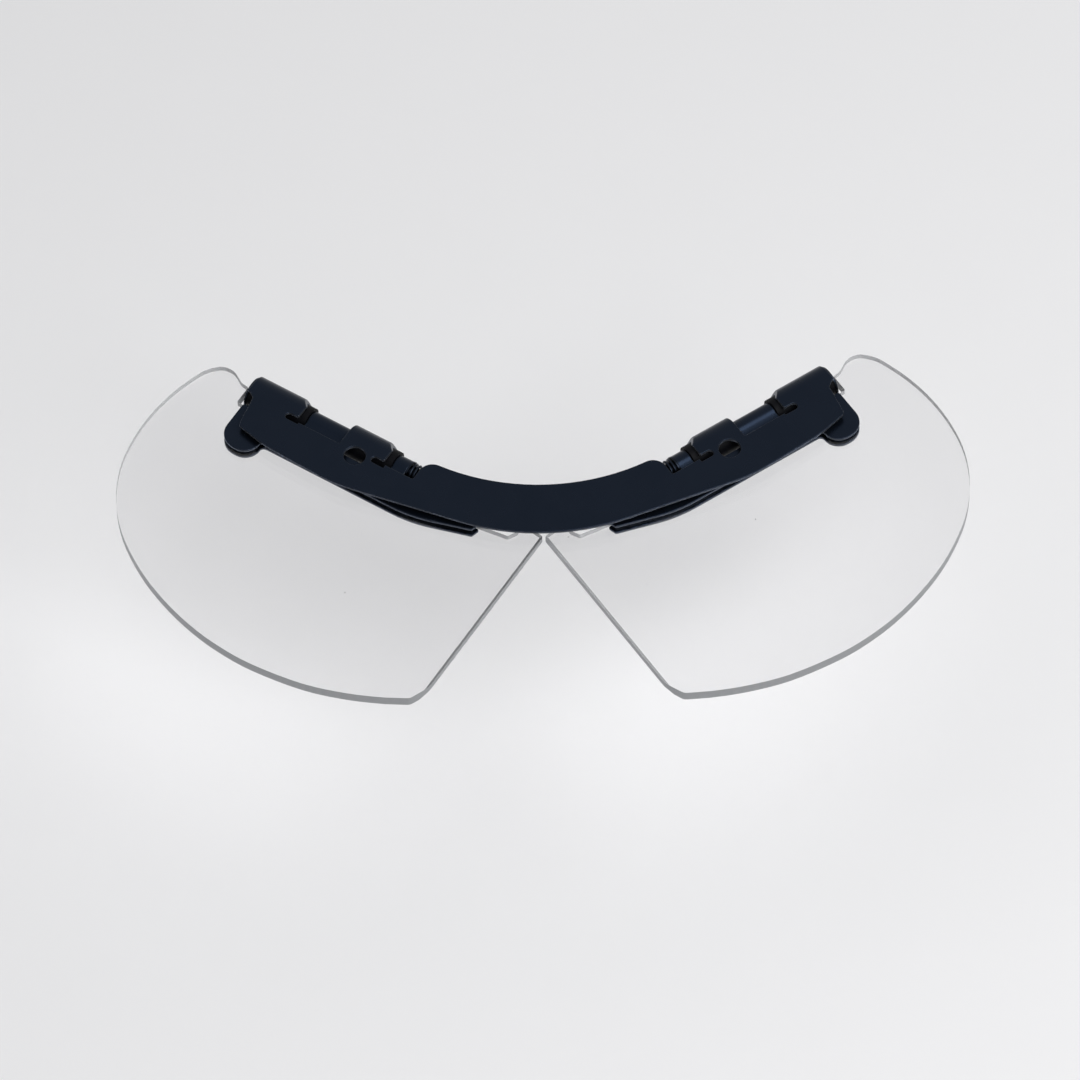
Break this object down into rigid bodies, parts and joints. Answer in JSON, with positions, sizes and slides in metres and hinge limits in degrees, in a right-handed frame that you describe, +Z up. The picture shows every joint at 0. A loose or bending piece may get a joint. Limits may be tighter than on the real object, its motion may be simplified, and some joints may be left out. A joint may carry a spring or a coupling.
{
  "type": "flip-down eye shield",
  "caption": "Flip-down eye shield for a helmet brim: two flat clear lens halves in folded steel clamps, each on a friction hinge under a crescent steel bracket.",
  "frame": {"origin": "midway between the two mounting screw holes, on the top face of the bracket", "axes": "+X to the right seen from the front, -Y to the front where the lenses reach, +Z up, square to the bracket"},
  "size_m": [0.231, 0.1098, 0.01],
  "materials": {
    "black_steel": "smooth satin blue-black coating over stamped sheet steel, worn thin along the edges",
    "clear_lens": "clear polished flat sheet with bright bevelled edges, light dust",
    "blackened_steel": "turned steel, blackened",
    "spring_steel": "drawn wire and stamped ring, blackened and oiled",
    "nylon": "black nylon"
  },
  "bodies": {
    "bracket": {"mounting_bracket": "black_steel", "left_hinge_pin": "blackened_steel", "left_inner_bush": "nylon", "left_outer_bush": "nylon", "left_head_washer": "blackened_steel", "left_spring_washer": "blackened_steel", "left_tension_spring": "spring_steel", "left_retaining_ring": "spring_steel", "right_hinge_pin": "blackened_steel", "right_inner_bush": "nylon", "right_outer_bush": "nylon", "right_head_washer": "blackened_steel", "right_spring_washer": "blackened_steel", "right_tension_spring": "spring_steel", "right_retaining_ring": "spring_steel"},
    "left_lens_half": {"left_lens": "clear_lens", "left_lens_clamp": "black_steel", "left_lens_rivets": "black_steel"},
    "right_lens_half": {"right_lens": "clear_lens", "right_lens_clamp": "black_steel", "right_lens_rivets": "black_steel"}
  },
  "joints": [
    {"name": "left_flip", "type": "hinge", "parent": "bracket", "child": "left_lens_half", "pos_m": [0, -0.02595, -0.005], "axis": [0.8387, -0.5446, 0], "range_deg": [0, 90]},
    {"name": "right_flip", "type": "hinge", "parent": "bracket", "child": "right_lens_half", "pos_m": [0, -0.02595, -0.005], "axis": [0.8387, 0.5446, 0], "range_deg": [0, 90]}
  ]
}
